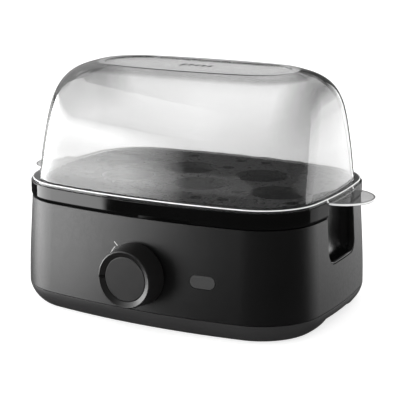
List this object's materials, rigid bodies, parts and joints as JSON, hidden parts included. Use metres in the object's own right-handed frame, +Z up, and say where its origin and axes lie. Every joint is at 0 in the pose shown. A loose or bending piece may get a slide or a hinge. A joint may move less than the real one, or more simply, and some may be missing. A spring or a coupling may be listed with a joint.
{
  "type": "egg cooker",
  "caption": "Oval countertop egg steamer: heated water bowl, lift-out perforated egg tray, clear domed lid with end tabs, rotary front knob and indicator lamp.",
  "frame": {"origin": "middle of the base, on the surface that the cooker stands on", "axes": "+X along the length to the right, -Y towards the front with the knob, +Z up"},
  "size_m": [0.26, 0.1826, 0.1644],
  "materials": {
    "housing_black": "fine matte texture",
    "base_black": "fine matte texture",
    "gloss_black": "high gloss",
    "knob_black": "satin",
    "lid_clear": "clear, slightly smoked",
    "tray_black": "satin",
    "bowl_coating": "non-stick coating",
    "aluminium": "rolled",
    "sheath_steel": "heat-darkened",
    "zinc_steel": "zinc plated",
    "ceramic": "unglazed ceramic",
    "silicone": "smooth silicone",
    "foot_rubber": "matte",
    "lens_grey": "translucent grey",
    "phenolic": "moulded phenolic",
    "board_green": "solder mask",
    "relay_blue": "moulded",
    "capacitor_yellow": "moulded",
    "coil_copper": "enamelled wire",
    "part_black": "moulded",
    "lamp_red": "clear red epoxy",
    "terminal_white": "moulded",
    "brass": "turned",
    "wire_blue": "insulation",
    "wire_brown": "insulation",
    "wire_white": "insulation"
  },
  "bodies": {
    "base": {"base_cover": "base_black", "foot_front_left": "foot_rubber", "foot_front_right": "foot_rubber", "foot_back_left": "foot_rubber", "foot_back_right": "foot_rubber", "base_screws": "zinc_steel", "housing_front": "housing_black", "housing_back": "housing_black", "housing_front_left": "housing_black", "housing_front_right": "housing_black", "housing_back_left": "housing_black", "housing_back_right": "housing_black", "bezel": "gloss_black", "pocket_liner_left": "gloss_black", "pocket_liner_right": "gloss_black", "bowl_gasket": "silicone", "water_bowl": "bowl_coating", "heat_spreader": "aluminium", "heating_element": "sheath_steel", "element_insulators": "ceramic", "heat_shield": "zinc_steel", "shield_posts": "zinc_steel", "shield_screws": "zinc_steel", "thermostat": "phenolic", "thermostat_clip": "zinc_steel", "thermal_fuse": "ceramic", "control_body": "phenolic", "control_nut": "zinc_steel", "circuit_board": "board_green", "relay": "relay_blue", "mains_capacitor": "capacitor_yellow", "supply_coil": "coil_copper", "sounder": "part_black", "indicator_lamp": "lamp_red", "indicator_lens": "lens_grey", "board_posts": "base_black", "cord_inlet": "part_black", "terminal_block": "terminal_white", "terminal_screws": "brass", "wire_neutral": "wire_blue", "wire_live": "wire_brown", "wire_load": "wire_white"},
    "tray": {"egg_tray": "tray_black"},
    "lid": {"lid": "lid_clear"},
    "knob": {"knob": "knob_black", "knob_cap": "knob_black", "knob_spring": "zinc_steel", "control_shaft": "zinc_steel"}
  },
  "joints": [
    {"name": "tray_lift", "type": "slide", "parent": "base", "child": "tray", "axis": [0, 0, 1], "range_m": [0, 0.06]},
    {"name": "lid_lift", "type": "slide", "parent": "tray", "child": "lid", "axis": [0, 0, 1], "range_m": [0, 0.12]},
    {"name": "knob_turn", "type": "hinge", "parent": "base", "child": "knob", "pos_m": [0, -0.0823, 0.0383], "axis": [0, 1, 0], "range_deg": [0, 270]}
  ]
}
